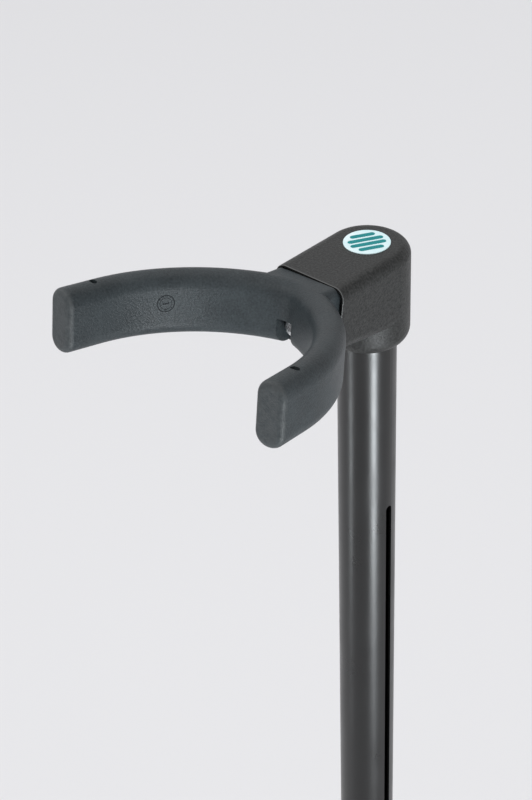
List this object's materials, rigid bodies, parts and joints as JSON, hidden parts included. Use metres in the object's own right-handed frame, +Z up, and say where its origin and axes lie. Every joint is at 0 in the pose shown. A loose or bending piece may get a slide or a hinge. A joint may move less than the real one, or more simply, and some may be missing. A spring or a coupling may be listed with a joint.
{
  "type": "instrument support stand",
  "caption": "Free-standing instrument stand: a U-shaped support fork on a slotted telescoping post with screw clamps, a sliding rest cup and a folding footed base.",
  "frame": {"origin": "on the floor under the column's axis, in the middle of the feet", "axes": "+Z up along the column, -Y towards the support fork's open end and the rest cup, +Y towards the clamp knobs, +X towards the tube's slot"},
  "size_m": [0.4706, 0.4706, 0.9565],
  "materials": {
    "fork_plastic": "fine-grained matte, bluish dark grey",
    "head_plastic": "moulded texture, neutral dark grey",
    "badge_face": null,
    "zinc_steel": "bright zinc plate",
    "tube_black": "semi-gloss black powder coat",
    "leg_black": "semi-gloss black powder coat",
    "nylon_black": "unfilled black nylon",
    "collar_plastic": "glass-filled black nylon, light moulded grain",
    "knob_plastic": "moulded black, fine grain",
    "hub_casting": "black powder coat over a zinc casting",
    "arm_steel": "semi-gloss black powder coat",
    "cup_plastic": "fine-grained matte, bluish dark grey",
    "pad_foam": "closed-cell rubber, matte",
    "foot_rubber": "moulded rubber, matte"
  },
  "bodies": {
    "column": {"lower_tube": "tube_black", "tube_liner": "nylon_black", "clamp_collar": "collar_plastic", "guide_pin": "zinc_steel", "clamp_nut": "zinc_steel", "base_hub": "hub_casting", "column_plug": "nylon_black", "column_washer": "zinc_steel", "column_bolt": "zinc_steel", "leg_pins": "zinc_steel"},
    "mast": {"support_fork": "fork_plastic", "head_cap": "head_plastic", "badge": "badge_face", "fork_screw": "zinc_steel", "fork_washer": "zinc_steel", "fork_nut": "zinc_steel", "tube_plug": "nylon_black", "upper_tube": "tube_black", "tube_glide": "nylon_black"},
    "clamp_shoe": {"clamp_pad": "nylon_black"},
    "clamp_handle": {"clamp_stud": "zinc_steel", "clamp_knob": "knob_plastic"},
    "rest": {"rest_bracket": "collar_plastic", "rest_arm": "arm_steel", "rest_cup": "cup_plastic", "cup_pad": "pad_foam", "rest_screws": "zinc_steel", "bracket_bolt": "zinc_steel", "rest_nut": "zinc_steel"},
    "rest_shoe": {"rest_pad": "nylon_black"},
    "rest_handle": {"rest_stud": "zinc_steel", "rest_knob": "knob_plastic"},
    "leg_front_left_body": {"knuckle_front_left": "collar_plastic", "leg_front_left": "leg_black", "foot_front_left": "foot_rubber"},
    "leg_front_right_body": {"knuckle_front_right": "collar_plastic", "leg_front_right": "leg_black", "foot_front_right": "foot_rubber"},
    "leg_rear_right_body": {"knuckle_rear_right": "collar_plastic", "leg_rear_right": "leg_black", "foot_rear_right": "foot_rubber"},
    "leg_rear_left_body": {"knuckle_rear_left": "collar_plastic", "leg_rear_left": "leg_black", "foot_rear_left": "foot_rubber"}
  },
  "joints": [
    {"name": "mast_slide", "type": "slide", "parent": "column", "child": "mast", "axis": [0, 0, 1], "range_m": [-0.312, 0.02]},
    {"name": "clamp_shoe_slide", "type": "slide", "parent": "column", "child": "clamp_shoe", "axis": [0, 1, 0], "range_m": [0, 0.001]},
    {"name": "clamp_handle_turn", "type": "hinge", "parent": "clamp_shoe", "child": "clamp_handle", "pos_m": [0, 0.05, 0.452], "axis": [0, 1, 0], "range_deg": [0, 360]},
    {"name": "rest_slide", "type": "slide", "parent": "column", "child": "rest", "axis": [0, 0, 1], "range_m": [-0.05, 0.23]},
    {"name": "rest_shoe_slide", "type": "slide", "parent": "rest", "child": "rest_shoe", "axis": [0, 1, 0], "range_m": [0, 0.001]},
    {"name": "rest_handle_turn", "type": "hinge", "parent": "rest_shoe", "child": "rest_handle", "pos_m": [0, 0.05, 0.168], "axis": [0, 1, 0], "range_deg": [0, 360]},
    {"name": "front_left_leg_fold", "type": "hinge", "parent": "column", "child": "leg_front_left_body", "pos_m": [-0.03111, -0.03111, 0.046], "axis": [0, 0, 1], "range_deg": [0, 45]},
    {"name": "front_right_leg_fold", "type": "hinge", "parent": "column", "child": "leg_front_right_body", "pos_m": [0.03111, -0.03111, 0.046], "axis": [0, 0, -1], "range_deg": [0, 45]},
    {"name": "rear_right_leg_fold", "type": "hinge", "parent": "column", "child": "leg_rear_right_body", "pos_m": [0.03111, 0.03111, 0.046], "axis": [0, 0, 1], "range_deg": [0, 45]},
    {"name": "rear_left_leg_fold", "type": "hinge", "parent": "column", "child": "leg_rear_left_body", "pos_m": [-0.03111, 0.03111, 0.046], "axis": [0, 0, -1], "range_deg": [0, 45]}
  ],
  "couplings": [
    {"joint": "clamp_handle_turn", "follows": "clamp_shoe_slide", "rad_per_m": 6283.2},
    {"joint": "rest_handle_turn", "follows": "rest_shoe_slide", "rad_per_m": 6283.2}
  ]
}
